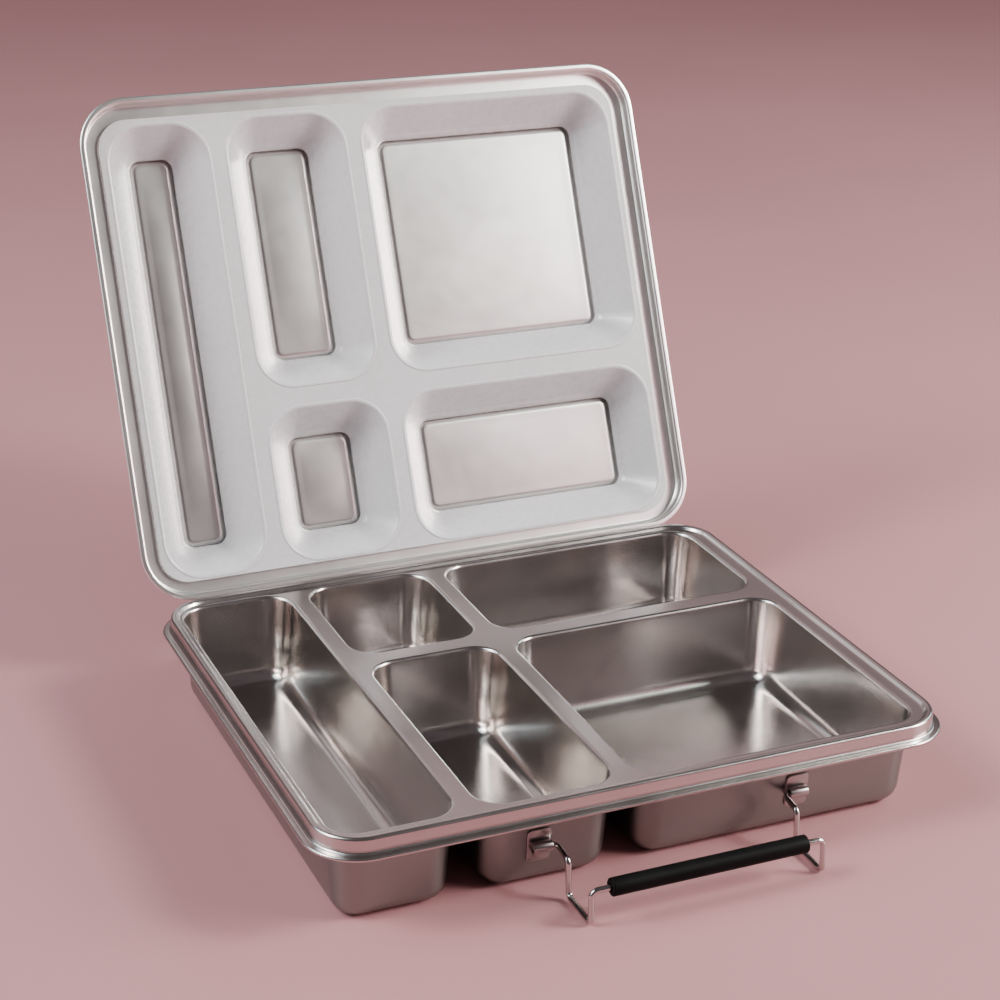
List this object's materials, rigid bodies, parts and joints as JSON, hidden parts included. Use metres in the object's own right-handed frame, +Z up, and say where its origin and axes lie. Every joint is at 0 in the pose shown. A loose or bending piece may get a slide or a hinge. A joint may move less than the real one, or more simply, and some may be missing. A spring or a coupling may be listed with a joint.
{
  "type": "bento lunch box",
  "caption": "Shallow steel lunch tray pressed into separate wells, with a rear-hinged lid lined in silicone and a folding wire bail with a rubber grip.",
  "frame": {"origin": "under the middle of the whole object as it lies open, on the surface that it stands on", "axes": "+X across the width of the box, +Y from the bail to the lid's hinges, +Z up"},
  "size_m": [0.25, 0.33, 0.224],
  "materials": {
    "tray_steel": "satin pressed stainless sheet",
    "lid_steel": "fine satin stainless sheet",
    "lid_silicone": "matte pale grey silicone",
    "fitting_steel": "satin stamped steel",
    "wire_steel": "bright drawn wire",
    "grip_rubber": "matte black rubber"
  },
  "bodies": {
    "base": {"base_tray": "tray_steel", "hinge_base_leaf_left": "fitting_steel", "hinge_base_leaf_right": "fitting_steel", "hinge_pin_left": "fitting_steel", "hinge_pin_right": "fitting_steel", "bail_bracket_left": "fitting_steel", "bail_bracket_right": "fitting_steel"},
    "lid": {"lid_shell": "lid_steel", "lid_seal": "lid_silicone", "hinge_lid_leaf_left": "fitting_steel", "hinge_lid_leaf_right": "fitting_steel"},
    "bail": {"bail_wire": "wire_steel", "grip_sleeve": "grip_rubber"}
  },
  "joints": [
    {"name": "lid_hinge", "type": "hinge", "parent": "base", "child": "lid", "pos_m": [0, 0.0675, 0.0323], "axis": [1, 0, 0], "range_deg": [0, 114]},
    {"name": "bail_hinge", "type": "hinge", "parent": "base", "child": "bail", "pos_m": [0.0103, -0.1335, 0.0168], "axis": [-1, 0, 0], "range_deg": [0, 97]}
  ]
}
